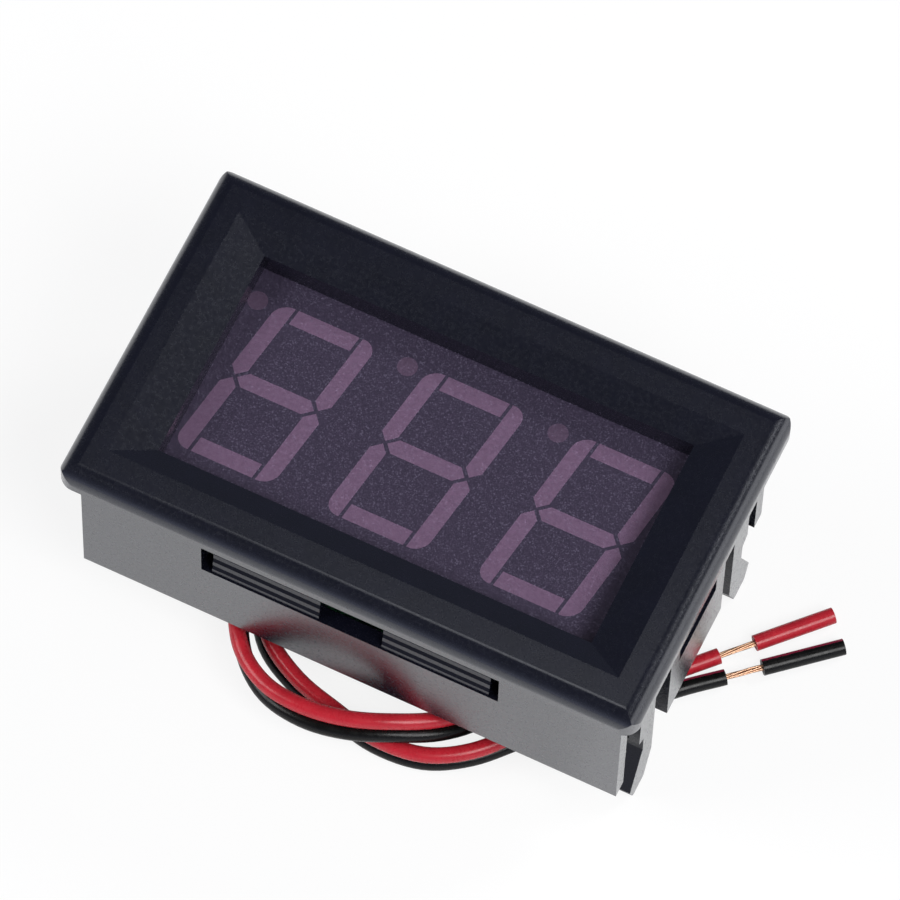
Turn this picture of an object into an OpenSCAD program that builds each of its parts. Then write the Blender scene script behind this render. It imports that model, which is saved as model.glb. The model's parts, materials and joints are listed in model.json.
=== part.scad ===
// Two-wire digital panel meter, three 0.56 inch digits, in a snap-in housing.
// Frame: origin at the centre of the bezel's rear face, the plane that seats on
// the panel. +Z is out of the front face and +Y is up as the display is read.
// Millimetres throughout.

/* [Bezel] */
// Width of the bezel flange
bezel_w = 48.3; // [46:0.1:60]
// Height of the bezel flange
bezel_h = 29; // [28:0.1:36]
// Thickness of the bezel flange
bezel_t = 2.2; // [1.8:0.1:3]
// Radius of the rounded front edge
bezel_round = 1.4; // [0.3:0.1:1.8]
// Radius of the bezel corners seen from the front
bezel_corner = 1.4; // [0.4:0.1:2]
// Width of the flat ring at each end of the recess
ring_w = 2.85; // [1.5:0.05:3.5]
// Width of the flat ring along each long side of the recess
ring_h = 3.3; // [1.5:0.05:3.8]
// Depth of the sloping recess
recess_depth = 1; // [0.4:0.1:1.3]
// Depth of the straight window wall below the recess
window_wall = 2.1; // [1.5:0.1:3]
// How much of the display each end of the window covers
window_lip_w = 0.7; // [0.3:0.05:1]
// How much of the display each long side of the window covers
window_lip_h = 0.4; // [0.3:0.05:0.8]

/* [Body] */
// How far the bezel overhangs the panel cut-out at each end
end_overhang = 1.05; // [0.6:0.05:1.5]
// How far the bezel overhangs the panel cut-out at each long side
side_overhang = 1.3; // [0.8:0.1:1.6]
// Depth of the walls behind the panel face
body_depth = 14.8; // [13.8:0.1:19]
// Thickness of the long walls
wall_t = 1.3; // [1:0.1:1.6]
// How far the long walls stop short of the end wall faces
wall_end_inset = 0.45; // [0.2:0.05:1]

/* [End walls] */
// Width of the middle end wall
end_wall_w = 9.8; // [8:0.1:12]
// Depth of the middle end wall behind the panel face
end_wall_depth = 15.6; // [13.8:0.1:19]
// Thickness of the middle end wall
end_wall_t = 1; // [0.8:0.1:1.3]
// Width of the window in the end wall
end_slot_w = 6.6; // [4:0.1:7.5]
// Height of the window in the end wall
end_slot_h = 2.8; // [1.5:0.1:3.4]
// Depth of that window's front edge behind the panel face
end_slot_depth = 6.1; // [4:0.1:7]

/* [Hooked arms] */
// Width of an arm at its root
arm_w = 2.6; // [2:0.1:3.2]
// Thickness of an arm's thin upper part
arm_t = 0.9; // [0.7:0.05:1.1]
// Thickness of an arm's head, which catches the circuit board
head_t = 1.45; // [1.2:0.05:1.7]
// Depth of the arm tips behind the panel face
arm_reach = 20.8; // [20.2:0.1:26]
// How far the arms stand inside the end wall faces
arm_inset = 0.2; // [0:0.05:0.4]
// Depth of the waist's front end behind the panel face
waist_depth = 12.3; // [11.6:0.1:13.5]
// Length of the waist
waist_len = 2.1; // [1:0.1:3]
// Length of the straight root that stands in the panel
arm_root = 3.2; // [3:0.1:4]
// Width lost at the waist
waist_cut = 0.75; // [0.3:0.05:1]
// How far the hook stands out past the arm's side
hook_out = 1.15; // [0.5:0.05:1.3]
// Length from the hook's widest point to the tip
hook_len = 1.8; // [1.2:0.1:2.4]

/* [Grip windows] */
// Length of the window in each long wall
grip_slot_w = 25; // [20:0.5:30]
// Height of that window
grip_slot_h = 4.5; // [3.5:0.1:5.5]
// Depth of the window's front edge behind the panel face
grip_slot_depth = 2.5; // [1.5:0.1:3.2]
// Gap at each outer end of the grips
grip_end_gap = 0.85; // [0.3:0.05:1.5]
// Gap between the two grips of a wall
grip_gap = 5.3; // [3:0.1:8]
// Number of ribs on a grip
grip_ribs = 4; // [2:1:5]
// Step inwards from one rib to the next
rib_step = 0.13; // [0.05:0.01:0.25]
// How far a rib's rounded face falls away towards the front
rib_bulge = 0.35; // [0.2:0.05:0.5]

/* [Digits] */
// Distance from one digit to the next
digit_pitch = 12.7; // [10.6:0.1:13]
// Height of a digit
digit_h = 14.2; // [11.7:0.1:14.4]
// Width of a digit over its upright bars
digit_w = 8.4; // [6.7:0.1:8.6]
// Width of a bar
bar_w = 1.35; // [1:0.05:1.6]
// Gap between neighbouring bars
bar_gap = 0.28; // [0.2:0.02:0.4]
// Lean of the digits in degrees
digit_lean = 8.8; // [0:0.2:12]
// Diameter of a decimal point
point_d = 1.6; // [1.2:0.05:1.8]
// Gap between a digit and its decimal point
point_gap = 0.7; // [0.3:0.05:0.9]

/* [Display module] */
// Margin of the module above and below the digits
digit_margin = 2.4; // [2.1:0.1:3]
// How much narrower the module is than its digit pitches
display_trim = 0.5; // [0.2:0.1:1]
// Thickness of the module
display_t = 8; // [6.7:0.1:9]
// Thickness of the tinted film on its front
film_t = 0.2; // [0.1:0.05:0.3]
// How far the film stays inside the module's outline
film_inset = 0.1; // [0.05:0.05:0.3]
// Thickness of the module's front face
face_t = 1.2; // [0.8:0.1:2]
// Thickness of the module's side walls
module_wall = 1; // [0.6:0.1:1.2]
// Thickness of the module's base board
base_t = 1; // [0.8:0.1:1.6]
// Pins in each of the module's two rows
pin_count = 6; // [4:1:6]
// Pitch of the pins
pin_pitch = 2.54; // [2:0.01:2.54]
// Distance of each pin row from the module's long side
pin_row_inset = 1.88; // [1.6:0.02:2.4]
// Width of a square pin
pin_w = 0.5; // [0.4:0.05:0.6]
// How far the pins stand out behind the circuit board
pin_out = 1.3; // [0.8:0.1:1.6]

/* [Circuit board] */
// Thickness of the circuit board
board_t = 1.6; // [1:0.1:1.9]
// Gap between the display module and the circuit board
board_gap = 0.6; // [0.3:0.1:1]
// Clearance between the circuit board's edge and the walls round it
board_fit = 0.2; // [0.1:0.05:0.4]
// Clearance round a pin in its hole in the circuit board
hole_fit = 0.1; // [0.05:0.05:0.2]

/* [Calibration trimmer] */
// Distance of the trimmer from the middle of the board along its length
trimmer_x = 15.5; // [14:0.1:16.5]
// Distance of the trimmer from the middle of the board across it
trimmer_y = 5; // [3:0.1:6]
// Side of the trimmer's base
trimmer_side = 3.6; // [3.2:0.1:4.4]
// Height of the trimmer's base
trimmer_base_h = 1.1; // [0.9:0.1:1.6]
// Diameter of the trimmer's rotor
rotor_d = 2.4; // [2:0.1:2.9]
// Height of the rotor above its base
rotor_h = 0.5; // [0.4:0.05:0.8]
// Diameter of the rotor's pivot
pivot_d = 0.9; // [0.7:0.05:1.1]
// Width of the rotor's screwdriver slots
slot_w = 0.4; // [0.3:0.05:0.6]

/* [Leads] */
// Outer diameter of a lead's insulation
lead_d = 1.3; // [1.1:0.05:1.35]
// Diameter of the bare copper strand bundle
core_d = 0.5; // [0.4:0.05:0.6]
// Length of bare copper between a lead and its loose end sleeve
bare_len = 3; // [1:0.1:5]
// Length of a loose end sleeve
sleeve_len = 6.6; // [4:0.1:8]

/* [Hidden] */
$fn = 48;

eps = 0.01;            // overlap that joins two shapes of one piece
reach = 1;             // how far a cutting shape runs past what it cuts
fit = 0.05;            // running clearance

digits = 3;
front_z = bezel_t;
display_w = digits*digit_pitch - display_trim;
display_h = digit_h + 2*digit_margin;
window_w = display_w - 2*window_lip_w;
window_h = display_h - 2*window_lip_h;
window_floor = front_z - recess_depth - window_wall;   // rear end of the window wall

film_top = window_floor;
shell_top = film_top - film_t;
face_bottom = shell_top - face_t;
display_bottom = shell_top - display_t;
base_top = display_bottom + base_t;
board_top = display_bottom - board_gap;
board_bottom = board_top - board_t;
catch_z = board_bottom - fit;

body_w = bezel_w - 2*end_overhang;
body_h = bezel_h - 2*side_overhang;
long_wall_w = body_w - 2*wall_end_inset;
cavity_h = body_h - 2*wall_t;
end_inner_x = body_w/2 - end_wall_t;
arm_outer_x = body_w/2 - arm_inset;
arm_inner_x = arm_outer_x - arm_t;
head_inner_x = arm_outer_x - head_t;
arm_y = (end_wall_w + cavity_h)/4;     // midway between the end wall and the long wall

board_w = 2*(min(end_inner_x, arm_inner_x) - board_fit);
board_h = cavity_h - 2*board_fit;
pin_hole = pin_w*sqrt(2) + 2*hole_fit;
core_hole = core_d + 2*hole_fit;
lean = tan(digit_lean);
point_y = -digit_h/2 + point_d/2 - 0.2;
point_x = digit_w/2 + lean*point_y + point_gap + point_d/2;

black_plastic = [0.13, 0.13, 0.15];
chip_black = [0.12, 0.12, 0.13];
segment_pink = [0.62, 0.48, 0.60];
copper = [0.78, 0.52, 0.36];
solder = [0.75, 0.76, 0.78];
tin = [0.72, 0.72, 0.70];
board_green = [0.10, 0.32, 0.20];
lead_red = [0.72, 0.10, 0.12];
lead_black = [0.08, 0.08, 0.09];

// ---------- small helpers ----------

module mirrored(v) {
    children();
    mirror(v) children();
}

module block(w, h, z_low, z_high) {
    translate([-w/2, -h/2, z_low])
        cube([w, h, z_high - z_low]);
}

module rounded_rect(w, h, r) {
    square([w - 2*r, h], center = true);
    square([w, h - 2*r], center = true);
    for (x = [-1, 1], y = [-1, 1])
        translate([x*(w/2 - r), y*(h/2 - r)])
            circle(r);
}

// A section with its two upper corners rounded, standing on y = 0
module crowned(w, t, r) {
    translate([-w/2, 0])
        square([w, t - r]);
    translate([-w/2 + r, 0])
        square([w - 2*r, t]);
    for (x = [-1, 1])
        translate([x*(w/2 - r), t - r])
            circle(r);
}

// Extrudes a section drawn in the Y-Z plane along X
module along_x(length) {
    translate([-length/2, 0, 0])
        rotate([90, 0, 90])
            linear_extrude(length)
                children();
}

// Extrudes a section drawn in the X-Z plane along Y
module along_y(length) {
    translate([0, length/2, 0])
        rotate([90, 0, 0])
            linear_extrude(length)
                children();
}

// ---------- housing ----------

module bezel_slab() {
    intersection() {
        linear_extrude(bezel_t)
            rounded_rect(bezel_w, bezel_h, bezel_corner);
        along_y(bezel_h)
            crowned(bezel_w, bezel_t, bezel_round);
        along_x(bezel_w)
            crowned(bezel_h, bezel_t, bezel_round);
    }
}

// Sloping walls of the recess, from its outline on the front down to the window
module recess_cut() {
    floor_z = front_z - recess_depth;
    module slope(outer, inner) {
        run = (outer - inner)/2/recess_depth*reach;
        polygon([
            [-inner/2, floor_z], [inner/2, floor_z],
            [outer/2 + run, front_z + reach], [-outer/2 - run, front_z + reach]
        ]);
    }
    intersection() {
        along_y(bezel_h)
            slope(bezel_w - 2*ring_w, window_w);
        along_x(bezel_w)
            slope(bezel_h - 2*ring_h, window_h);
    }
}

grip_w = (grip_slot_w - grip_gap)/2 - grip_end_gap;
grip_front_gap = 0.3;      // gap between a grip's free end and its window
grip_sink = 0.12;          // how far the rear rib lies behind the wall's face
grip_root_t = 0.55;        // how far a grip's root stands in from the wall
grip_root_h = 1.4;         // height of that root below the window
root_slope = 0.6;          // height of the slope under the root
rib_turn = 30;             // angle between the corners of a rib's rounded face

// Ribbed grip, a tongue rising from the wall into its window, in section: x runs
// inwards from the wall's outer face and y is the height
module grip_section() {
    low = -grip_slot_depth - grip_slot_h;
    rib_h = (grip_slot_h - grip_front_gap)/grip_ribs;
    inner = wall_t + grip_root_t;
    ribs = [
        for (i = [0 : grip_ribs - 1], a = [0 : rib_turn : 90])
            [grip_sink + i*rib_step + rib_bulge*(1 - cos(a)), low + (i + sin(a))*rib_h]
    ];
    root = [
        [inner, low + grip_ribs*rib_h],
        [inner, low - grip_root_h],
        [wall_t - eps, low - grip_root_h - root_slope],
        [wall_t - eps, low]
    ];
    polygon(concat(ribs, root));
}

module grips() {
    for (x = [-1, 1])
        translate([x*(grip_gap + grip_w)/2, -body_h/2, 0])
            along_x(grip_w)
                grip_section();
}

module long_wall() {
    difference() {
        translate([-long_wall_w/2, -body_h/2, -body_depth])
            cube([long_wall_w, wall_t, body_depth]);
        translate([-grip_slot_w/2, -body_h/2 - reach, -grip_slot_depth - grip_slot_h])
            cube([grip_slot_w, wall_t + 2*reach, grip_slot_h]);
    }
    grips();
}

seat_rib_t = 1.2;          // thickness of a seat rib
seat_rib_gap = 2.5;        // distance of a seat rib from the grip window
seat_rib_clear = 0.8;      // gap between a seat rib and the display

// Seat ribs inside a long wall carry the front of the circuit board
module seat_ribs() {
    width = cavity_h/2 - display_h/2 - seat_rib_clear;
    for (x = [-1, 1])
        translate([
            x*(grip_slot_w/2 + seat_rib_gap) - seat_rib_t/2,
            -cavity_h/2 - eps,
            board_top
        ])
            cube([seat_rib_t, width + eps, window_floor - board_top + eps]);
}

catch_h = 0.8;             // height of a catch's flat nose

module end_wall() {
    difference() {
        translate([end_inner_x, -end_wall_w/2, -end_wall_depth])
            cube([end_wall_t, end_wall_w, end_wall_depth]);
        translate([end_inner_x - reach, -end_slot_w/2, -end_slot_depth - end_slot_h])
            cube([end_wall_t + 2*reach, end_slot_w, end_slot_h]);
    }
    // Catch behind the circuit board, with a lead-in slope towards the rear
    along_y(end_wall_w)
        polygon([
            [end_inner_x + eps, catch_z],
            [head_inner_x, catch_z],
            [head_inner_x, catch_z - catch_h],
            [end_inner_x + eps, -end_wall_depth]
        ]);
}

arm_swell = 0.1;           // widening of an arm behind its straight root
waist_slope = 0.6;         // height of the step into the waist
tip_r = 0.5;               // radius of the tip's two corners
tip_taper = 1;             // how far the tip's inner side slopes in
taper_len = 3;             // length of that slope

// Outline of an arm beside the end wall: x is outwards along the body's height
// from the arm's middle, y is the height
module arm_outline() {
    half = arm_w/2;
    hook_x = half + hook_out;
    hook_z = -arm_reach + hook_len;
    inner_x = -half + tip_taper;
    polygon([
        [-half, 0],
        [half, 0],
        [half, -arm_root],
        [half + arm_swell, -waist_depth + waist_slope],
        [half - waist_cut, -waist_depth],
        [half - waist_cut, -waist_depth - waist_len],
        [hook_x, hook_z],
        [hook_x - tip_r, -arm_reach + tip_r],
        [inner_x, -arm_reach + tip_r],
        [-half, -arm_reach + taper_len]
    ]);
    translate([inner_x + tip_r, -arm_reach])
        square([hook_x - inner_x - 3*tip_r, 2*tip_r]);
    for (x = [inner_x + tip_r, hook_x - 2*tip_r])
        translate([x, -arm_reach + tip_r])
            circle(tip_r);
}

head_slope_w = 0.35;       // width of the slope on the head's inner side at the tip
head_slope_h = 1;          // height of that slope

module arm() {
    module plate(inner_x) {
        translate([inner_x, arm_y, 0])
            rotate([90, 0, 90])
                linear_extrude(arm_outer_x - inner_x)
                    arm_outline();
    }
    plate(arm_inner_x);
    // Head: thicker inwards, so that it catches the circuit board's rear edge
    intersection() {
        plate(head_inner_x);
        along_y(body_h)
            polygon([
                [head_inner_x, catch_z],
                [arm_outer_x + reach, catch_z],
                [arm_outer_x + reach, -arm_reach - reach],
                [head_inner_x + head_slope_w, -arm_reach - reach],
                [head_inner_x + head_slope_w, -arm_reach],
                [head_inner_x, -arm_reach + head_slope_h]
            ]);
    }
}

module housing() {
    color(black_plastic) {
        difference() {
            union() {
                bezel_slab();
                block(2*arm_inner_x, cavity_h + 2*eps, window_floor, eps);
            }
            recess_cut();
            block(window_w, window_h, window_floor - reach, front_z);
        }
        mirrored([0, 1, 0]) {
            long_wall();
            seat_ribs();
        }
        mirrored([1, 0, 0]) {
            end_wall();
            mirrored([0, 1, 0])
                arm();
        }
    }
}

// ---------- display ----------

// Upright bar on the upper right of a digit before it leans
module upright_bar() {
    outer = digit_w/2;
    inner = outer - bar_w;
    top = digit_h/2;
    low = bar_gap/2;
    r = bar_w*0.9;
    difference() {
        polygon([
            [outer - bar_w/2, low],
            [outer, low + bar_w/2],
            [outer, top],
            [inner, top],
            [inner, low + bar_w/2]
        ]);
        // rounded outer corner
        translate([outer - r, top - r])
            difference() {
                square(r + reach);
                circle(r);
            }
    }
}

module level_bar() {
    end_x = digit_w/2 - bar_w - bar_gap;
    translate([-end_x, digit_h/2 - bar_w])
        square([2*end_x, bar_w]);
}

module middle_bar() {
    tip_x = digit_w/2 - bar_w/2 - bar_gap;
    polygon([
        [-tip_x, 0], [-tip_x + bar_w/2, bar_w/2], [tip_x - bar_w/2, bar_w/2],
        [tip_x, 0], [tip_x - bar_w/2, -bar_w/2], [-tip_x + bar_w/2, -bar_w/2]
    ]);
}

// The seven bars of one digit in plan, before they lean
module bars() {
    mirrored([0, 1, 0]) {
        level_bar();
        mirrored([1, 0, 0])
            upright_bar();
    }
    middle_bar();
}

// Bars of the digit in place i, counted from the left, with the given height span
module digit(i, z_low, z_high) {
    translate([(i - (digits - 1)/2)*digit_pitch, 0, z_low])
        linear_extrude(z_high - z_low)
            multmatrix([[1, lean, 0, 0], [0, 1, 0, 0], [0, 0, 1, 0], [0, 0, 0, 1]])
                bars();
}

module points(z_low, z_high) {
    for (i = [0 : digits - 1])
        translate([(i - (digits - 1)/2)*digit_pitch + point_x, point_y, z_low])
            cylinder(d = point_d, h = z_high - z_low);
}

module pin_places() {
    row_y = display_h/2 - pin_row_inset;
    for (i = [0 : pin_count - 1], side = [-1, 1])
        translate([(i - (pin_count - 1)/2)*pin_pitch, side*row_y, 0])
            children();
}

module display_film() {
    color([0.35, 0.28, 0.38, 0.6])
        block(display_w - 2*film_inset, display_h - 2*film_inset, shell_top, film_top);
}

module inside_shell(z_low, z_high) {
    block(display_w - 2*module_wall, display_h - 2*module_wall, z_low, z_high);
}

module display_shell() {
    color([0.20, 0.18, 0.22])
        difference() {
            block(display_w, display_h, display_bottom, shell_top);
            inside_shell(display_bottom - reach, face_bottom);
            for (i = [0 : digits - 1])
                digit(i, face_bottom - reach, shell_top + reach);
            points(face_bottom - reach, shell_top + reach);
        }
}

module digit_left() {
    color(segment_pink)
        digit(0, face_bottom, shell_top);
}

module digit_middle() {
    color(segment_pink)
        digit(1, face_bottom, shell_top);
}

module digit_right() {
    color(segment_pink)
        digit(2, face_bottom, shell_top);
}

module decimal_points() {
    color(segment_pink)
        points(face_bottom, shell_top);
}

module display_potting() {
    color([0.80, 0.78, 0.74])
        inside_shell(base_top, face_bottom);
}

module display_base() {
    color([0.85, 0.82, 0.70])
        difference() {
            inside_shell(display_bottom, base_top);
            pin_places()
                block(pin_w, pin_w, display_bottom - reach, base_top + reach);
        }
}

module display_pins() {
    color(tin)
        pin_places()
            block(pin_w, pin_w, board_bottom - pin_out, base_top);
}

// ---------- circuit board and its components ----------

red_spot = [14.5, -5.4];       // where each lead is soldered to the board
black_spot = [14.5, -3.4];

// Places a component, drawn standing on z = 0, on the rear of the board
module on_board(x, y, turn = 0) {
    translate([x, y, board_bottom])
        rotate([180, 0, turn])
            children();
}

// A box centred on x and y that stands at the height z
module part_box(size, z = 0) {
    translate([-size[0]/2, -size[1]/2, z])
        cube(size);
}

module lead_places() {
    for (spot = [red_spot, black_spot])
        translate(spot)
            children();
}

module circuit_board() {
    color(board_green)
        difference() {
            block(board_w, board_h, board_bottom, board_top);
            translate([0, 0, board_bottom - reach]) {
                pin_places()
                    cylinder(d = pin_hole, h = board_t + 2*reach);
                lead_places()
                    cylinder(d = core_hole, h = board_t + 2*reach);
            }
        }
}

chip_size = [6.5, 4.4, 1];
chip_x = -3.2;
chip_stand = 0.1;          // gap under the chip's case
mark_d = 0.6;              // dimple that marks the first leg
mark_depth = 0.1;
leg_count = 10;            // legs on each side
leg_pitch = 0.65;
leg_w = 0.25;
leg_t = 0.15;
leg_shoulder = 0.45;       // level length of a leg beside the case
leg_foot = 0.55;           // level length of a leg on the board
leg_rise = 0.55;           // height of the shoulder's top

module microcontroller() {
    mark_inset = 0.8;
    color(chip_black)
        on_board(chip_x, 0)
            difference() {
                part_box(chip_size, chip_stand);
                translate([
                    mark_inset - chip_size[0]/2,
                    chip_size[1]/2 - mark_inset,
                    chip_stand + chip_size[2] - mark_depth
                ])
                    cylinder(d = mark_d, h = reach);
            }
}

// Gull-wing leg with its shoulder against the case at x = 0
module gull_leg() {
    translate([0, -leg_w/2, 0]) {
        translate([0, 0, leg_rise - leg_t])
            cube([leg_shoulder, leg_w, leg_t]);
        translate([leg_shoulder - leg_t, 0, 0])
            cube([leg_t, leg_w, leg_rise]);
        translate([leg_shoulder - leg_t, 0, 0])
            cube([leg_t + leg_foot, leg_w, leg_t]);
    }
}

module microcontroller_legs() {
    color(tin)
        on_board(chip_x, 0)
            for (i = [0 : leg_count - 1], side = [90, 270])
                translate([(i - (leg_count - 1)/2)*leg_pitch, 0, 0])
                    rotate(side)
                        translate([chip_size[1]/2, 0, 0])
                            gull_leg();
}

regulator_spot = [9.2, 1];
regulator_size = [4.5, 2.5, 1.3];
tab_t = 0.2;               // thickness of the regulator's metal tabs
tab_w = 1.7;               // width of its heat tab
tab_out = 0.65;            // how far the heat tab stands out
tab_leg_w = 0.44;
tab_leg_out = 0.9;
tab_leg_pitch = 1.5;

module voltage_regulator() {
    color(chip_black)
        on_board(regulator_spot[0], regulator_spot[1])
            part_box(regulator_size, tab_t);
}

module regulator_tabs() {
    half = regulator_size[1]/2;
    color(tin)
        on_board(regulator_spot[0], regulator_spot[1]) {
            translate([-tab_w/2, -half - tab_out, 0])
                cube([tab_w, 2*half + tab_out, tab_t]);
            for (i = [-1 : 1])
                translate([i*tab_leg_pitch - tab_leg_w/2, half - eps, 0])
                    cube([tab_leg_w, tab_leg_out + eps, tab_t]);
        }
}

diode_spot = [9.2, -4.6];
diode_size = [2.7, 1.6, 1.1];
diode_tab = [0.5, 0.7, 0.6];

module protection_diode() {
    color(chip_black)
        on_board(diode_spot[0], diode_spot[1])
            part_box(diode_size);
}

module diode_tabs() {
    color(tin)
        on_board(diode_spot[0], diode_spot[1])
            for (side = [-1, 1])
                translate([side*(diode_size[0] + diode_tab[0])/2, 0, 0])
                    part_box(diode_tab);
}

tantalum_spot = [15.6, 1.2];
tantalum_size = [3.5, 2.8, 1.9];
tantalum_step = 0.2;       // the case narrows by this above its end plates
tantalum_plate_h = 1.2;

module tantalum_capacitor() {
    color([0.80, 0.55, 0.15])
        on_board(tantalum_spot[0], tantalum_spot[1], 90) {
            part_box([tantalum_size[0], tantalum_size[1], tantalum_plate_h]);
            part_box([tantalum_size[0] - 2*tantalum_step, tantalum_size[1], tantalum_size[2]]);
        }
}

transistor_spots = [[-16, -4.8], [-12.2, -4.8], [-16, -0.6]];
transistor_size = [2.9, 1.3, 1.1];
transistor_leg = [0.4, 0.55, 0.45];
transistor_leg_x = 0.95;

module digit_transistors() {
    color(chip_black)
        for (p = transistor_spots)
            on_board(p[0], p[1])
                part_box(transistor_size);
}

module transistor_legs() {
    leg_y = (transistor_size[1] + transistor_leg[1])/2;
    color(tin)
        for (p = transistor_spots)
            on_board(p[0], p[1])
                for (at = [[-transistor_leg_x, -leg_y], [transistor_leg_x, -leg_y], [0, leg_y]])
                    translate(at)
                        part_box(transistor_leg);
}

// Chip parts: [x, y, turn]
capacitor_spots = [[2.9, 3.6, 90], [2.9, -3.6, 90], [4.9, 3.6, 90], [12.4, 6.6, 0], [-9, 3.6, 90]];
resistor_row = [for (i = [0 : 7]) [-7.2 + i*1.9, 10.1, 90]];
resistor_spots = concat(resistor_row, [[-9, -3.6, 90], [5.6, -3.4, 90], [12.4, -8.4, 0], [9.6, 6.6, 0]]);
capacitor_size = [2, 1.25, 0.85];
resistor_size = [1.6, 0.8, 0.45];
cap_len = 0.3;             // length of a metal end cap

module chip_bodies(spots, size) {
    for (p = spots)
        on_board(p[0], p[1], p[2])
            part_box([size[0] - 2*cap_len, size[1], size[2]]);
}

module end_caps(spots, size) {
    for (p = spots)
        on_board(p[0], p[1], p[2])
            for (side = [-1, 1])
                translate([side*(size[0] - cap_len)/2, 0, 0])
                    part_box([cap_len, size[1], size[2]]);
}

module chip_capacitors() {
    color([0.62, 0.50, 0.38])
        chip_bodies(capacitor_spots, capacitor_size);
}

module chip_resistors() {
    color(chip_black)
        chip_bodies(resistor_spots, resistor_size);
}

module chip_end_caps() {
    color(tin) {
        end_caps(capacitor_spots, capacitor_size);
        end_caps(resistor_spots, resistor_size);
    }
}

// ---------- calibration trimmer ----------

module trimmer_base() {
    color([0.90, 0.90, 0.86])
        on_board(-trimmer_x, trimmer_y)
            difference() {
                part_box([trimmer_side, trimmer_side, trimmer_base_h]);
                // bearing hole of the rotor's pivot
                translate([0, 0, -reach])
                    cylinder(d = pivot_d + 2*fit, h = trimmer_base_h + 2*reach);
            }
}

module trimmer_rotor() {
    disc_z = trimmer_base_h + fit;
    color([0.80, 0.72, 0.45])
        on_board(-trimmer_x, trimmer_y)
            difference() {
                union() {
                    translate([0, 0, fit])
                        cylinder(d = pivot_d, h = disc_z);
                    translate([0, 0, disc_z])
                        cylinder(d = rotor_d, h = rotor_h);
                }
                for (turn = [0, 90])
                    rotate(turn)
                        part_box([2*rotor_d, slot_w, rotor_h], disc_z + rotor_h/2);
            }
}

// ---------- solder, leads and their bare ends ----------

pin_joint_foot = 1.7;      // diameter of a solder cone on the board
pin_joint_top = 0.8;
pin_joint_h = 0.9;
lead_joint_foot = 1.5;
lead_joint_top = 0.9;
lead_joint_h = 0.7;

module solder_cone(foot, top, height) {
    translate([0, 0, board_bottom - height])
        cylinder(d1 = top, d2 = foot, h = height);
}

module solder_joints() {
    color(solder) {
        difference() {
            pin_places()
                solder_cone(pin_joint_foot, pin_joint_top, pin_joint_h);
            pin_places()
                block(pin_w, pin_w, board_bottom - pin_joint_h - reach, board_bottom + reach);
        }
        difference() {
            lead_places()
                solder_cone(lead_joint_foot, lead_joint_top, lead_joint_h);
            lead_places()
                translate([0, 0, board_bottom - lead_joint_h - reach])
                    cylinder(d = core_d, h = lead_joint_h + 2*reach);
        }
    }
}

// Routes of the two leads from the board down to the surface under the meter,
// once round below it, and out past the left end wall. They are points on the
// centreline, chosen by hand.
red_route = [
    [14.5, -5.4, -12.4], [14.5, -5.4, -14.2], [14, -4.8, -16], [13.2, -2.6, -17.1],
    [13, 0.8, -17.4], [12.7, 4.3, -17.3], [11.9, 7.8, -17.1], [10.6, 11.2, -16.9],
    [8.6, 14.1, -16.7], [5.7, 15.9, -16.5], [2.3, 16.4, -16.2], [-1.1, 15.9, -16.1],
    [-4.4, 14.6, -16.1], [-7.4, 12.6, -16.8], [-9.5, 9.8, -18], [-10.4, 6.2, -18.6],
    [-10.1, 2.3, -18.7], [-8.9, -1.3, -18.7], [-6.5, -4.2, -18.7], [-3.2, -6, -18.7],
    [0.6, -6.3, -18.7], [4.3, -5.2, -18.7], [7.5, -2.8, -18.7], [9.6, 0.5, -18.7],
    [10.3, 4.3, -18.7], [9.7, 8.1, -18.7], [7.6, 11.4, -18.7], [4.2, 13.5, -18.7],
    [0.4, 14.6, -18.7], [-3.4, 15.4, -18.7], [-7.3, 15, -18.7], [-10.5, 13.1, -18.7],
    [-13.1, 10.1, -18.7], [-15.7, 6.6, -18.8], [-18.6, 3, -19.4], [-21.4, -0.3, -20.1],
    [-24, -3.1, -20.1]
];
black_route = [
    [14.5, -3.4, -12.4], [14.5, -3.4, -14.2], [14.8, -3, -16.3], [14.5, -1.6, -18],
    [13.7, 0.6, -18.7], [12.9, 3.8, -18.7], [11.8, 7.3, -18.5], [10.5, 10.7, -18.3],
    [8.5, 13.9, -18.1], [5.7, 16.1, -17.9], [2.2, 16.9, -17.5], [-1.3, 16.4, -17.4],
    [-4.7, 15, -17.4], [-7.8, 13, -18.1], [-10, 10, -19.3], [-10.9, 6.2, -19.9],
    [-10.3, 2.2, -20.1], [-9, -1.3, -20.1], [-6.5, -4.2, -20.1], [-3.2, -6, -20.1],
    [0.6, -6.3, -20.1], [4.3, -5.2, -20.1], [7.6, -2.8, -20.1], [9.8, 0.5, -20.1],
    [10.6, 4.3, -20.1], [10, 8.2, -20.1], [7.8, 11.6, -20.1], [4.3, 13.6, -20.1],
    [0.4, 14.6, -20.1], [-3.4, 15.4, -20.1], [-7.3, 15, -20.1], [-10.5, 13.1, -20.1],
    [-13.2, 10.2, -20.1], [-16, 7, -20.1], [-19.4, 3.9, -20.1], [-22.5, 0.7, -20.1],
    [-25.2, -1.7, -20.1]
];
sides = 8;

function unit(v) = v/norm(v);
function heading(p, i) =
    unit(p[min(i + 1, len(p) - 1)] - p[max(i - 1, 0)]);
// The ring's first direction is kept square to the route and turned least
function sideways(p, i) =
    i == 0
        ? [1, 0, 0]
        : let (t = heading(p, i), s = sideways(p, i - 1)) unit(s - t*(s*t));
function ring(p, i, d) =
    let (s = sideways(p, i), u = cross(heading(p, i), s))
        [for (k = [0 : sides - 1]) p[i] + d/2*(s*cos(k*360/sides) + u*sin(k*360/sides))];
// Point at the distance s past the end of a route
function beyond(p, s) = p[len(p) - 1] + s*heading(p, len(p) - 1);

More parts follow.
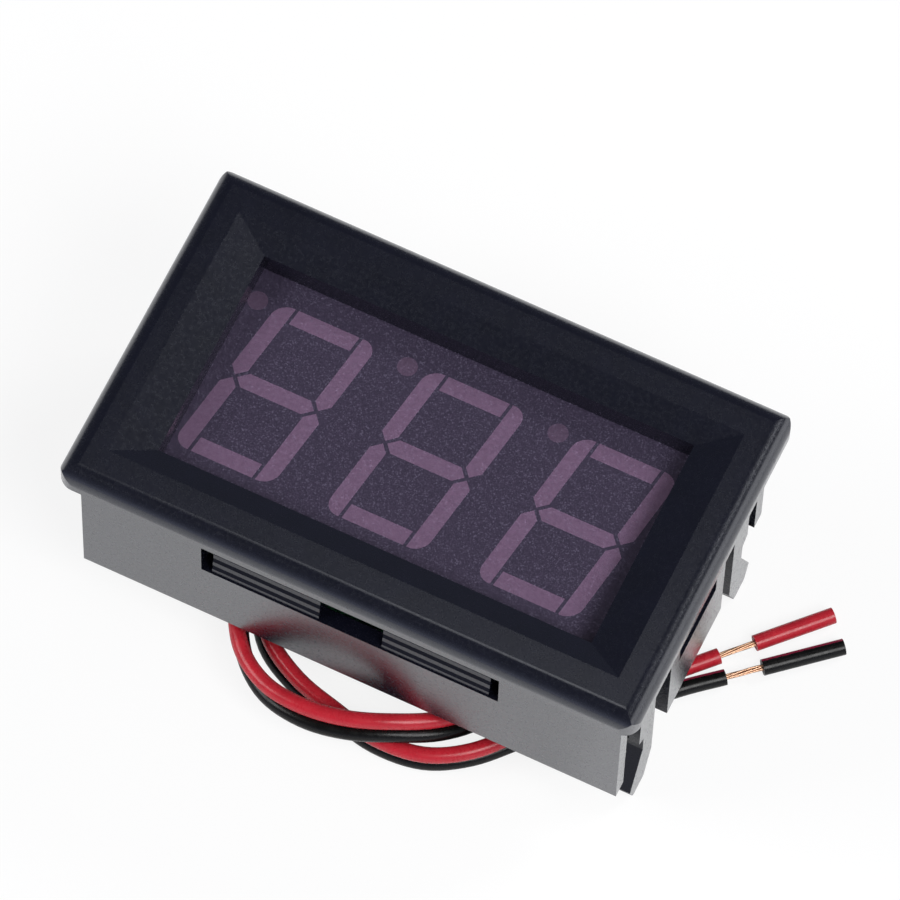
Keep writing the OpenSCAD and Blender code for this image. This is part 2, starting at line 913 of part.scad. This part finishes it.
// A tube of diameter d swept along the points p
module swept_tube(p, d) {
    last = len(p) - 1;
    polyhedron(
        points = [for (i = [0 : last]) each ring(p, i, d)],
        faces = concat(
            [[for (k = [0 : sides - 1]) k]],
            [
                for (i = [0 : last - 1], k = [0 : sides - 1])
                    let (a = i*sides + k, b = i*sides + (k + 1) % sides)
                        [a, a + sides, b + sides, b]
            ],
            [[for (k = [sides - 1 : -1 : 0]) last*sides + k]]
        )
    );
}

module rod_between(a, b, d) {
    v = b - a;
    translate(a)
        rotate([0, acos(v[2]/norm(v)), atan2(v[1], v[0])])
            cylinder(d = d, h = norm(v));
}

module red_lead() {
    color(lead_red)
        swept_tube(red_route, lead_d);
}

module black_lead() {
    color(lead_black)
        swept_tube(black_route, lead_d);
}

// Bare strands: through the board into the lead's start, and out of its far end
module cores(route) {
    start = route[0];
    rod_between(start, [start[0], start[1], board_top], core_d);
    rod_between(beyond(route, 0), beyond(route, bare_len), core_d);
}

module red_core() {
    color(copper)
        cores(red_route);
}

module black_core() {
    color(copper)
        cores(black_route);
}

// Loose end sleeve, pushed along the strands when the lead was stripped
module end_sleeve(route) {
    rod_between(beyond(route, bare_len), beyond(route, bare_len + sleeve_len), lead_d);
}

module red_end_sleeve() {
    color(lead_red)
        end_sleeve(red_route);
}

module black_end_sleeve() {
    color(lead_black)
        end_sleeve(black_route);
}

housing();
display_film();
display_shell();
digit_left();
digit_middle();
digit_right();
decimal_points();
display_potting();
display_base();
display_pins();
circuit_board();
microcontroller();
microcontroller_legs();
voltage_regulator();
regulator_tabs();
protection_diode();
diode_tabs();
tantalum_capacitor();
digit_transistors();
transistor_legs();
chip_capacitors();
chip_resistors();
chip_end_caps();
trimmer_base();
trimmer_rotor();
solder_joints();
red_lead();
black_lead();
red_core();
black_core();
red_end_sleeve();
black_end_sleeve();
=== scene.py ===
"""Looks of the digital panel meter: camera, materials, leads, film, stage and light."""
import json
import math
import random

import bmesh
import bpy
from mathutils import Matrix, Vector


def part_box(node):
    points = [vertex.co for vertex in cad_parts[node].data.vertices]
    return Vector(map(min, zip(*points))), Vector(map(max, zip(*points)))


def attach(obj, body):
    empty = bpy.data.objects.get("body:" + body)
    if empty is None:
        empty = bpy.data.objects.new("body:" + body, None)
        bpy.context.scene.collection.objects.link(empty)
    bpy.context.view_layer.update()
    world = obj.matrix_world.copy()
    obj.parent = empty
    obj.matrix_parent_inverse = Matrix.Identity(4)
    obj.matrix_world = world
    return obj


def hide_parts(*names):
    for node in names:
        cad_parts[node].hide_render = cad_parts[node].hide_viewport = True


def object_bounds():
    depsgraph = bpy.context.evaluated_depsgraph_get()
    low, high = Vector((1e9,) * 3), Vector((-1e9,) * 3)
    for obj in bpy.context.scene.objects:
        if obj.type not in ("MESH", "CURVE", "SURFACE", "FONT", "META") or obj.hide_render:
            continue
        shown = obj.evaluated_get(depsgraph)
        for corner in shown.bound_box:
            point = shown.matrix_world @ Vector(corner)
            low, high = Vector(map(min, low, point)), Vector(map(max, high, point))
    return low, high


MM = 0.001

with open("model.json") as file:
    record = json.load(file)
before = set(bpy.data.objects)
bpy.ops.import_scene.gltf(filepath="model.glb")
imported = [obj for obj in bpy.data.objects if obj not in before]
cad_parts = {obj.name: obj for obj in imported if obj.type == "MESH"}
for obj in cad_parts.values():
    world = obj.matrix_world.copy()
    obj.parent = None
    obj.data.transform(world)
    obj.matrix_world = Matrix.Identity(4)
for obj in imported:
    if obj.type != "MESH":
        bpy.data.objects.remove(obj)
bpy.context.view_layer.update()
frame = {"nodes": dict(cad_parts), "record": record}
METER = "meter"


def direction(azimuth, elevation):
    """Unit vector from the origin towards a viewpoint; azimuth 0 is -Y and 90 is +X."""
    a, e = math.radians(azimuth), math.radians(elevation)
    return Vector((math.sin(a) * math.cos(e), -math.cos(a) * math.cos(e), math.sin(e)))


def add_object(name, data):
    obj = bpy.data.objects.new(name, data)
    bpy.context.collection.objects.link(obj)
    return obj


# ---------- camera ----------

CAMERA_AZIMUTH = 203.49  # degrees, as the next two
CAMERA_ELEVATION = 64.8
CAMERA_ROLL = 2.4
CAMERA_DISTANCE = 678.8 * MM
CAMERA_AIM = Vector((-1.46, -1.13, 0)) * MM  # on the panel plane, near the frame's origin
CAMERA_LENS = 358.7
CAMERA_SENSOR = 36
CAMERA_NEAR = 0.01
CAMERA_FAR = 10


def make_camera():
    data = bpy.data.cameras.new("camera")
    data.lens = CAMERA_LENS
    data.sensor_width = CAMERA_SENSOR
    data.clip_start = CAMERA_NEAR
    data.clip_end = CAMERA_FAR
    camera = add_object("camera", data)
    back = direction(CAMERA_AZIMUTH, CAMERA_ELEVATION)
    level = (-back).to_track_quat("-Z", "Y").to_matrix().to_4x4()
    roll = Matrix.Rotation(math.radians(CAMERA_ROLL), 4, "Z")
    camera.matrix_world = Matrix.Translation(CAMERA_AIM + back * CAMERA_DISTANCE) @ level @ roll
    bpy.context.scene.camera = camera


# ---------- node-based materials ----------

NOISE_LOW = 0.3  # nearly all of a noise lies between these two
NOISE_HIGH = 0.7


class Nodes:
    """Short calls for the nodes of one material or world."""

    def __init__(self, owner):
        owner.use_nodes = True
        self.nodes = owner.node_tree.nodes
        self.links = owner.node_tree.links

    def fill(self, socket, value):
        """Gives a socket a plain value, or a link from another node."""
        if isinstance(value, bpy.types.NodeSocket):
            self.links.new(value, socket)
        else:
            socket.default_value = value

    def add(self, kind, **sockets):
        node = self.nodes.new(f"ShaderNode{kind}")
        for name, value in sockets.items():
            self.fill(node.inputs[name], value)
        return node

    def coordinates(self, kind):
        return self.add("TexCoord").outputs[kind]

    def split(self, vector):
        """X, Y and Z of a vector."""
        outputs = self.add("SeparateXYZ", Vector=vector).outputs
        return outputs["X"], outputs["Y"], outputs["Z"]

    def math(self, operation, *values):
        node = self.add("Math")
        node.operation = operation
        for socket, value in zip(node.inputs, values):
            self.fill(socket, value)
        return node.outputs["Value"]

    def both(self, first, *others):
        """Mask that is 1 where every one of the given masks is 1."""
        for mask in others:
            first = self.math("MULTIPLY", first, mask)
        return first

    def under(self, value, limit):
        return self.math("LESS_THAN", value, limit)

    def over(self, value, limit):
        return self.math("GREATER_THAN", value, limit)

    def dot(self, vector, other):
        node = self.add("VectorMath")
        node.operation = "DOT_PRODUCT"
        self.fill(node.inputs[0], vector)
        self.fill(node.inputs[1], other)
        return node.outputs["Value"]

    def noise(self, size, detail=2):
        """Noise whose features are about size metres across."""
        where = self.coordinates("Object")
        return self.add("TexNoise", Vector=where, Scale=1 / size, Detail=detail).outputs["Fac"]

    def cells(self, size, metric):
        """Flat cells about size metres across: how far their middle is, and a colour for each."""
        cells = self.add("TexVoronoi")
        cells.voronoi_dimensions = "2D"
        cells.distance = metric
        self.fill(cells.inputs["Scale"], 1 / size)
        self.fill(cells.inputs["Vector"], self.coordinates("Object"))
        return cells.outputs["Distance"], cells.outputs["Color"]

    def ramp(self, value, stops):
        """Colour ramp; stops are (position, (r, g, b))."""
        ramp = self.add("ValToRGB", Fac=value)
        elements = ramp.color_ramp.elements
        while len(elements) < len(stops):
            elements.new(0.5)
        for element, (position, color) in zip(elements, stops):
            element.position = position
            element.color = (*color, 1)
        return ramp.outputs["Color"]

    def mix(self, share, first, second):
        """The first colour where share is 0, the second where it is 1."""
        mix = self.add("Mix")
        mix.data_type = "RGBA"
        self.fill(mix.inputs["Factor"], share)
        self.fill(mix.inputs["A"], first)
        self.fill(mix.inputs["B"], second)
        return mix.outputs["Result"]

    def span(self, noise, low, high):
        """Spreads a noise over low..high."""
        spread = self.add("MapRange", Value=noise)
        for end, value in {
            "From Min": NOISE_LOW, "From Max": NOISE_HIGH, "To Min": low, "To Max": high,
        }.items():
            self.fill(spread.inputs[end], value)
        return spread.outputs["Result"]


class Look(Nodes):
    """A Principled material."""

    def __init__(self, name, color, roughness, **sockets):
        self.name = name
        self.material = bpy.data.materials.new(name)
        super().__init__(self.material)
        self.shader = self.nodes["Principled BSDF"]
        self.set(Base_Color=(*color, 1), Roughness=roughness, **sockets)

    def set(self, **sockets):
        """Fills the shader's sockets, which are named here with _ for a space."""
        for name, value in sockets.items():
            self.fill(self.shader.inputs[name.replace("_", " ")], value)

    def two_tone(self, size, dark, light, detail):
        noise = self.noise(size, detail)
        self.set(Base_Color=self.ramp(noise, [(NOISE_LOW, dark), (NOISE_HIGH, light)]))

    def bump(self, height, depth, strength=1.0):
        """Bump of the given depth in metres."""
        bump = self.add("Bump", Strength=strength, Distance=depth, Height=height)
        self.set(Normal=bump.outputs["Normal"])


# Where the housing is matt: between the ribs of its grips, and on the arms' sides
GRIP_HALF = 12.5 * MM  # from the middle of a long wall to the outer end of its grips
GRIP_FROM = 11.8 * MM  # how far out in Y a grip's ribs start
GRIP_TOP = -2.6 * MM
GRIP_LOW = -7 * MM
CREST_TILT = 0.25  # a rib's crest leans less than this, as the Z of its direction
CREST_GLOSS = 0.4
ARMS_FROM = 21 * MM  # how far out in X the arms start
ARMS_WITHIN = 12.5 * MM  # and how far out in Y they end
SIDEWAYS = 0.9  # an arm's side faces more than this along Y
ARMS_MATT = 0.85
COAT = 0.7
SPECULAR = 0.47
SPECULAR_LEAST = 0.1  # share of SPECULAR that the matt places keep


def black_abs():
    """Moulded black plastic with a satin skin."""
    look = Look(
        "black_abs", (0.004, 0.0045, 0.010), 0.24,
        Coat_Roughness=0.22, Specular_Tint=(0.86, 0.90, 1, 1),
    )
    look.two_tone(2 * MM, (0.0035, 0.0040, 0.0088), (0.0045, 0.0050, 0.0112), detail=4)
    look.set(Roughness=look.span(look.noise(0.3 * MM, detail=3), 0.20, 0.30))
    look.bump(look.noise(0.09 * MM), 0.004 * MM, 0.4)

    x, y, z = look.split(look.coordinates("Object"))
    _, facing_y, facing_z = look.split(look.coordinates("Normal"))
    out_x, out_y = look.math("ABSOLUTE", x), look.math("ABSOLUTE", y)
    behind = look.under(z, GRIP_TOP)
    grips = look.both(
        look.under(out_x, GRIP_HALF), look.over(out_y, GRIP_FROM), behind, look.over(z, GRIP_LOW),
    )
    crest = look.under(look.math("ABSOLUTE", facing_z), CREST_TILT)
    hollow = look.math("SUBTRACT", 1, look.math("MULTIPLY", crest, CREST_GLOSS))
    arms = look.both(
        look.over(look.math("ABSOLUTE", facing_y), SIDEWAYS),
        look.over(out_x, ARMS_FROM), look.under(out_y, ARMS_WITHIN), behind,
    )
    matt = look.math(
        "MAXIMUM", look.math("MULTIPLY", grips, hollow), look.math("MULTIPLY", arms, ARMS_MATT),
    )
    gloss = look.math("SUBTRACT", 1, matt)
    mirror = look.math("MULTIPLY", look.math("ADD", gloss, SPECULAR_LEAST), SPECULAR)
    look.set(Coat_Weight=look.math("MULTIPLY", gloss, COAT), Specular_IOR_Level=mirror)
    return look


def tinted_film():
    """Smoke film with a frosted front; its colour is the smoke tint plus a bluish painted sheen,
    and bright specks of painted glints stand for its sparkle.
    """
    look = Look(
        "tinted_film", (0.05, 0.035, 0.06), 0.45, Alpha=0.3, Specular_IOR_Level=0.3,
    )
    # the darker stops are the smoke tint lifted bluish by a painted sheen; the lightest stop
    # makes painted glints, specks of sparkle
    look.set(Base_Color=look.ramp(look.noise(0.12 * MM, detail=1), [
        (0.35, (0.034, 0.030, 0.056)),
        (0.59, (0.054, 0.044, 0.082)),
        (0.70, (0.20, 0.18, 0.27)),
    ]))
    look.bump(look.noise(0.08 * MM), 0.012 * MM, 0.5)
    return look


def display_face():
    look = Look("display_face", (0.05, 0.035, 0.065), 0.7)
    look.two_tone(0.4 * MM, (0.036, 0.022, 0.049), (0.060, 0.037, 0.077), detail=4)
    return look


def segment_epoxy(name, share):
    """Milky epoxy of an unlit segment; share dims it."""
    color, dark, light = (
        [c * share for c in tone]
        for tone in ((0.5, 0.3, 0.48), (0.38, 0.205, 0.355), (0.48, 0.27, 0.45))
    )
    look = Look(name, color, 0.5)
    look.two_tone(0.3 * MM, dark, light, detail=3)
    return look


def plain(name, color, roughness, size, bump=0.0, **sockets):
    """A slight mottle of colour and roughness and, if asked, a fine bump."""
    look = Look(name, color, roughness, **sockets)
    dark, light = ([min(1, c * share) for c in color] for share in (0.85, 1.15))
    look.two_tone(size, dark, light, detail=3)
    mottle = look.noise(size * 0.7)
    look.set(Roughness=look.span(mottle, roughness * 0.85, min(1, roughness * 1.15)))
    if bump:
        look.bump(look.noise(size * 0.3), bump)
    return look


COPPER_CELL = 2.2 * MM
COPPER_RISE = 0.02 * MM
VIA_SPACING = 3.4 * MM
VIA_RADIUS = 0.07  # as a share of the spacing


def green_board():
    """Green solder resist over copper lanes, with tinned vias."""
    look = plain("green_board", (0.015, 0.11, 0.045), 0.32, 1.5 * MM)
    _, shade = look.cells(COPPER_CELL, "CHEBYCHEV")
    copper = look.ramp(shade, [(0.47, (0, 0, 0)), (0.50, (1, 1, 1))])
    resist = look.ramp(copper, [(0, (0.013, 0.096, 0.040)), (1, (0.017, 0.122, 0.050))])
    spot, _ = look.cells(VIA_SPACING, "EUCLIDEAN")
    vias = look.under(spot, VIA_RADIUS)
    look.set(Base_Color=look.mix(vias, resist, (0.42, 0.42, 0.38, 1)))
    look.bump(copper, COPPER_RISE)
    return look


def insulation(name, color, shine):
    look = Look(name, color, 0.3, Specular_IOR_Level=shine)
    dark, light = ([min(1, c * share) for c in color] for share in (0.88, 1.08))
    look.two_tone(1.5 * MM, dark, light, detail=4)
    look.set(Roughness=look.span(look.noise(0.5 * MM, detail=3), 0.22, 0.34))
    look.bump(look.noise(0.35 * MM), 0.01 * MM, 0.4)
    return look


STRIPE_FROM = -14 * MM  # the stripe lies where x is lower than this
STRIPE_SIDE = (0.506, -0.575, 0.643)  # the way that the stripe faces
STRIPE_EDGE = 0.95  # about the cosine of half the stripe's angle round the lead
STRIPE_RAGGED = 0.08  # how far that cosine strays along its edges
STRIPE_COLOR = (0.23, 0.014, 0.045, 1)


def red_side_stripe(look):
    """Red along the black lead near its end, on the side that faces STRIPE_SIDE."""
    facing = look.dot(look.coordinates("Normal"), STRIPE_SIDE)
    ragged = look.math("MULTIPLY", look.noise(0.5 * MM, detail=4), STRIPE_RAGGED)
    side = look.over(look.math("ADD", facing, ragged), STRIPE_EDGE)
    x, _, _ = look.split(look.coordinates("Object"))
    black = look.shader.inputs["Base Color"].links[0].from_socket
    stripe = look.both(side, look.under(x, STRIPE_FROM))
    look.set(Base_Color=look.mix(stripe, black, STRIPE_COLOR))


def make_looks():
    looks = [
        black_abs(),
        tinted_film(),
        display_face(),
        segment_epoxy("segment_epoxy", 1),
        segment_epoxy("point_epoxy", 0.5),
        plain("potting_epoxy", (0.55, 0.52, 0.46), 0.4, 1 * MM),
        plain("display_base", (0.50, 0.44, 0.28), 0.5, 0.6 * MM),
        plain("tinned_metal", (0.62, 0.62, 0.60), 0.28, 0.3 * MM, Metallic=1),
        green_board(),
        plain("black_case", (0.022, 0.022, 0.024), 0.5, 0.2 * MM, bump=0.01 * MM),
        plain("yellow_case", (0.62, 0.30, 0.03), 0.42, 0.4 * MM),
        plain("tan_ceramic", (0.30, 0.20, 0.12), 0.5, 0.3 * MM),
        plain("white_case", (0.74, 0.72, 0.66), 0.45, 0.4 * MM),
        plain("rotor_brass", (0.75, 0.56, 0.24), 0.3, 0.3 * MM, Metallic=1),
        plain("solder", (0.66, 0.67, 0.69), 0.22, 0.3 * MM, bump=0.01 * MM, Metallic=1),
        insulation("red_insulation", (0.46, 0.018, 0.030), shine=0.35),
        insulation("black_insulation", (0.004, 0.004, 0.004), shine=0.24),
        plain("copper_strand", (0.57, 0.35, 0.23), 0.32, 0.2 * MM, Metallic=1),
    ]
    looks = {look.name: look for look in looks}
    red_side_stripe(looks["black_insulation"])
    return {slot: look.material for slot, look in looks.items()}


def dress(obj, materials, slot):
    obj.data.materials.clear()
    obj.data.materials.append(materials[slot])


def dress_cad_nodes(materials):
    slots = {part["node"]: part["material_slot"] for part in frame["record"]["subparts"]}
    for node, obj in frame["nodes"].items():
        for slot in obj.material_slots:
            slot.material = materials["point_epoxy" if node == "decimal_points" else slots[node]]


# ---------- leads ----------

LEAD_D = 1.3 * MM
BARE_LEN = 3 * MM
HIDDEN_LEN = 0.4 * MM  # how far the strands reach into the insulation
CURVE_STEPS = 6  # from one point of a route to the next
STRAND_D = 0.16 * MM
STRANDS = 7
STRAND_STEPS = 12
STRAND_TWIST = 1.9  # radians over the bare length
STRAND_SWELL = (0.9, 1.35)  # how far out a strand may run in the middle, as a share

# The leads' routes in millimetres, through the same points as the CAD's
RED_ROUTE = [
    (14.5, -5.4, -12.4), (14.5, -5.4, -14.2), (14, -4.8, -16), (13.2, -2.6, -17.1),
    (13, 0.8, -17.4), (12.7, 4.3, -17.3), (11.9, 7.8, -17.1), (10.6, 11.2, -16.9),
    (8.6, 14.1, -16.7), (5.7, 15.9, -16.5), (2.3, 16.4, -16.2), (-1.1, 15.9, -16.1),
    (-4.4, 14.6, -16.1), (-7.4, 12.6, -16.8), (-9.5, 9.8, -18), (-10.4, 6.2, -18.6),
    (-10.1, 2.3, -18.7), (-8.9, -1.3, -18.7), (-6.5, -4.2, -18.7), (-3.2, -6, -18.7),
    (0.6, -6.3, -18.7), (4.3, -5.2, -18.7), (7.5, -2.8, -18.7), (9.6, 0.5, -18.7),
    (10.3, 4.3, -18.7), (9.7, 8.1, -18.7), (7.6, 11.4, -18.7), (4.2, 13.5, -18.7),
    (0.4, 14.6, -18.7), (-3.4, 15.4, -18.7), (-7.3, 15, -18.7), (-10.5, 13.1, -18.7),
    (-13.1, 10.1, -18.7), (-15.7, 6.6, -18.8), (-18.6, 3, -19.4), (-21.4, -0.3, -20.1),
    (-24, -3.1, -20.1),
]
BLACK_ROUTE = [
    (14.5, -3.4, -12.4), (14.5, -3.4, -14.2), (14.8, -3, -16.3), (14.5, -1.6, -18),
    (13.7, 0.6, -18.7), (12.9, 3.8, -18.7), (11.8, 7.3, -18.5), (10.5, 10.7, -18.3),
    (8.5, 13.9, -18.1), (5.7, 16.1, -17.9), (2.2, 16.9, -17.5), (-1.3, 16.4, -17.4),
    (-4.7, 15, -17.4), (-7.8, 13, -18.1), (-10, 10, -19.3), (-10.9, 6.2, -19.9),
    (-10.3, 2.2, -20.1), (-9, -1.3, -20.1), (-6.5, -4.2, -20.1), (-3.2, -6, -20.1),
    (0.6, -6.3, -20.1), (4.3, -5.2, -20.1), (7.6, -2.8, -20.1), (9.8, 0.5, -20.1),
    (10.6, 4.3, -20.1), (10, 8.2, -20.1), (7.8, 11.6, -20.1), (4.3, 13.6, -20.1),
    (0.4, 14.6, -20.1), (-3.4, 15.4, -20.1), (-7.3, 15, -20.1), (-10.5, 13.1, -20.1),
    (-13.2, 10.2, -20.1), (-16, 7, -20.1), (-19.4, 3.9, -20.1), (-22.5, 0.7, -20.1),
    (-25.2, -1.7, -20.1),
]


def smooth_line(points):
    """Catmull-Rom curve through the points."""
    padded = [2 * points[0] - points[1], *points, 2 * points[-1] - points[-2]]
    line = []
    for a, b, c, d in zip(padded, padded[1:], padded[2:], padded[3:]):
        for i in range(CURVE_STEPS):
            t = i / CURVE_STEPS
            line.append(0.5 * (
                2 * b + (c - a) * t
                + (2 * a - 5 * b + 4 * c - d) * t**2
                + (3 * b - a - 3 * c + d) * t**3
            ))
    return [*line, points[-1]]


def curve_object(name, lines, diameter, resolution):
    """Round tubes of the given diameter along the lines, as one curve object."""
    data = bpy.data.curves.new(name, "CURVE")
    data.dimensions = "3D"
    data.bevel_depth = diameter / 2
    data.bevel_resolution = resolution
    data.use_fill_caps = True
    for line in lines:
        spline = data.splines.new("POLY")
        spline.points.add(len(line) - 1)
        for point, place in zip(spline.points, line):
            point.co = (*place, 1)
    return add_object(name, data)


def strand_lines(start, end, seed):
    """A loosely twisted bundle: one strand in the middle, and the others round it."""
    rng = random.Random(seed)
    axis = (end - start).normalized()
    side = axis.cross(Vector((0, 0, 1))).normalized()
    up = side.cross(axis)
    lines = []
    for strand in range(STRANDS):
        around = 2 * math.pi * strand / (STRANDS - 1)
        ring = 0 if strand == STRANDS - 1 else STRAND_D
        swell = rng.uniform(*STRAND_SWELL)
        line = []
        for i in range(STRAND_STEPS + 1):
            t = i / STRAND_STEPS
            angle = around + STRAND_TWIST * t
            reach = ring * (1 + (swell - 1) * math.sin(math.pi * t))
            out = side * math.cos(angle) + up * math.sin(angle)
            line.append(start + (end - start) * t + reach * out)
        lines.append(line)
    return lines


def make_lead(name, route, slot, materials, seed):
    points = [Vector(p) * MM for p in route]
    line = smooth_line(points)
    lead = curve_object(f"{name}_insulation", [line], LEAD_D, resolution=6)
    dress(lead, materials, slot)
    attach(lead, METER)
    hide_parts(f"{name}_lead")

    heading = (points[-1] - points[-2]).normalized()
    bundle = strand_lines(
        points[-1] - heading * HIDDEN_LEN, points[-1] + heading * (BARE_LEN + HIDDEN_LEN), seed,
    )
    board_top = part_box("circuit_board")[1].z
    tail = [
        points[0] + Vector((0, 0, -HIDDEN_LEN)), Vector((points[0].x, points[0].y, board_top)),
    ]
    strands = curve_object(f"{name}_strands", [*bundle, tail], STRAND_D, resolution=3)
    dress(strands, materials, "copper_strand")
    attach(strands, METER)
    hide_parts(f"{name}_core")


# ---------- display film ----------

FILM_GAP = 0.03 * MM  # keeps the film's back apart from the display's face


def box_object(name, low, high):
    data = bpy.data.meshes.new(name)
    shape = bmesh.new()
    bmesh.ops.create_cube(shape, size=1)
    low, high = Vector(low), Vector(high)
    for vertex in shape.verts:
        vertex.co = Vector((
            low[i] + (vertex.co[i] + 0.5) * (high[i] - low[i]) for i in range(3)
        ))
    shape.to_mesh(data)
    shape.free()
    return add_object(name, data)


def make_film(materials):
    low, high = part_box("display_film")
    film = box_object("film", (low.x, low.y, low.z + FILM_GAP), high)
    dress(film, materials, "tinted_film")
    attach(film, METER)
    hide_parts("display_film")


# ---------- stage and light ----------

FLOOR_SIZE = 3  # metres
FLOOR_DROP = 0.01 * MM
FLOOR_WHITE = 0.84  # plain white that the camera sees in the floor, so that shadows stay soft
FLOOR_MIRRORED = 0.12  # plain white that a gloss sees in it

# Degrees from the far horizon over the top to the near one, and the grey there
SKY_BANDS = [
    (0, 0.13), (45, 0.06), (70, 0.05), (88, 0.03),
    (112, 0.02), (135, 0.08), (155, 0.25), (180, 0.8),
]
SKY_TINT = (0.92, 0.97, 1.2)

# Azimuth and elevation in degrees, distance and side in metres, watts
LIGHTS = {
    "left_box": (116, 36, 0.7, 0.4, 2.8),
    "right_box": (244, 50, 0.7, 0.38, 3.8),
    "far_box": (-38, 36, 0.7, 0.2, 1.7),
    "right_low": (298, 12, 0.6, 0.25, 0.35),
    "top_strip": (23.5, 78, 0.5, 0.11, 0.09),
}


def make_floor():
    half = FLOOR_SIZE / 2
    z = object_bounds()[0].z - FLOOR_DROP
    data = bpy.data.meshes.new("floor")
    corners = [(-half, -half, z), (half, -half, z), (half, half, z), (-half, half, z)]
    data.from_pydata(corners, [], [(0, 1, 2, 3)])
    floor = add_object("floor", data)

    look = Look("floor", (0.9, 0.9, 0.9), 0.9, Specular_IOR_Level=0.1)
    path = look.add("LightPath").outputs
    mirrored = look.math("MULTIPLY", path["Is Glossy Ray"], FLOOR_MIRRORED)
    seen = look.math("MULTIPLY_ADD", path["Is Camera Ray"], FLOOR_WHITE, mirrored)
    mix = look.add("MixShader", Fac=seen)
    look.fill(mix.inputs[1], look.shader.outputs["BSDF"])
    look.fill(mix.inputs[2], look.add("Emission").outputs["Emission"])
    look.fill(look.nodes["Material Output"].inputs["Surface"], mix.outputs["Shader"])
    floor.data.materials.append(look.material)


def make_world():
    """Studio surround in grey bands that cross the camera's heading."""
    world = bpy.data.worlds.new("studio")
    sky = Nodes(world)
    where = sky.coordinates("Generated")
    ahead = sky.dot(where, -direction(CAMERA_AZIMUTH, 0))
    _, _, up = sky.split(where)
    share = sky.math("DIVIDE", sky.math("ARCTAN2", up, ahead), math.pi)
    bands = [(degrees / 180, [grey * c for c in SKY_TINT]) for degrees, grey in SKY_BANDS]
    background = sky.nodes["Background"]
    sky.fill(background.inputs["Color"], sky.ramp(share, bands))
    sky.fill(background.inputs["Strength"], 1)
    bpy.context.scene.world = world


def make_light(name, azimuth, elevation, distance, side, power):
    """Soft square light that looks at the origin."""
    data = bpy.data.lights.new(name, "AREA")
    data.size = side
    data.energy = power
    light = add_object(name, data)
    back = direction(azimuth, elevation)
    light.location = back * distance
    light.rotation_mode = "QUATERNION"
    light.rotation_quaternion = (-back).to_track_quat("-Z", "Y")


# ---------- build ----------

make_camera()
MATERIALS = make_looks()
make_lead("red", RED_ROUTE, "red_insulation", MATERIALS, seed=3)
make_lead("black", BLACK_ROUTE, "black_insulation", MATERIALS, seed=8)
dress_cad_nodes(MATERIALS)
make_film(MATERIALS)
make_floor()
make_world()
for light_name, setting in LIGHTS.items():
    make_light(light_name, *setting)

scene = bpy.context.scene
scene.view_settings.view_transform = "Standard"
